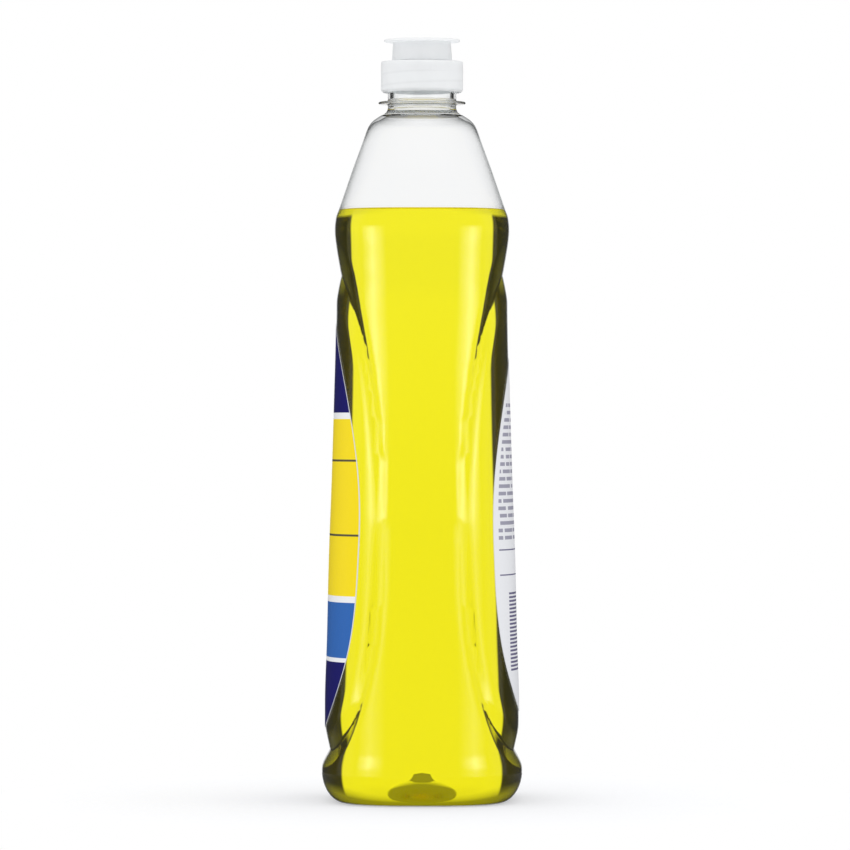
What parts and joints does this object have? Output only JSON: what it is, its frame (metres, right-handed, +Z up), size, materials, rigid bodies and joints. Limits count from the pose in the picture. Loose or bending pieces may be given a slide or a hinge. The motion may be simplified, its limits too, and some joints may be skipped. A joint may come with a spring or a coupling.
{
  "type": "dish soap bottle",
  "caption": "Filled clear plastic dish soap bottle with recessed oval label panels on its broad faces and a push-pull spout on a screw cap.",
  "frame": {"origin": "middle of the foot, on the surface the bottle stands on", "axes": "+Z up along the neck, +Y towards the back label, -Y towards the front label, X from one narrow side to the other"},
  "size_m": [0.0988, 0.0744, 0.2825],
  "materials": {
    "clear_pet": "clear, glossy blown plastic",
    "yellow_soap": "clear yellow liquid",
    "front_print": "printed film, satin gloss",
    "back_print": "printed film, satin gloss",
    "cap_plastic": "natural, slightly translucent moulded plastic",
    "liner_foam": "foamed plastic",
    "spout_plastic": "natural, slightly translucent moulded plastic"
  },
  "bodies": {
    "body": {"bottle": "clear_pet", "soap": "yellow_soap", "front_label": "front_print", "back_label": "back_print"},
    "liner": {"cap_liner": "liner_foam"},
    "cap": {"cap_collar": "cap_plastic"},
    "spout": {"pull_spout": "spout_plastic"}
  },
  "joints": [
    {"name": "cap_lift", "type": "slide", "parent": "body", "child": "liner", "axis": [0, 0, 1], "range_m": [0, 0.0043]},
    {"name": "cap_turn", "type": "hinge", "parent": "liner", "child": "cap", "pos_m": [0, 0, 0.2674], "axis": [0, 0, 1], "range_deg": [0, 360]},
    {"name": "spout_pull", "type": "slide", "parent": "cap", "child": "spout", "axis": [0, 0, 1], "range_m": [0, 0.0045]}
  ],
  "couplings": [
    {"joint": "cap_lift", "follows": "cap_turn", "m_per_rad": 0.00067368}
  ]
}
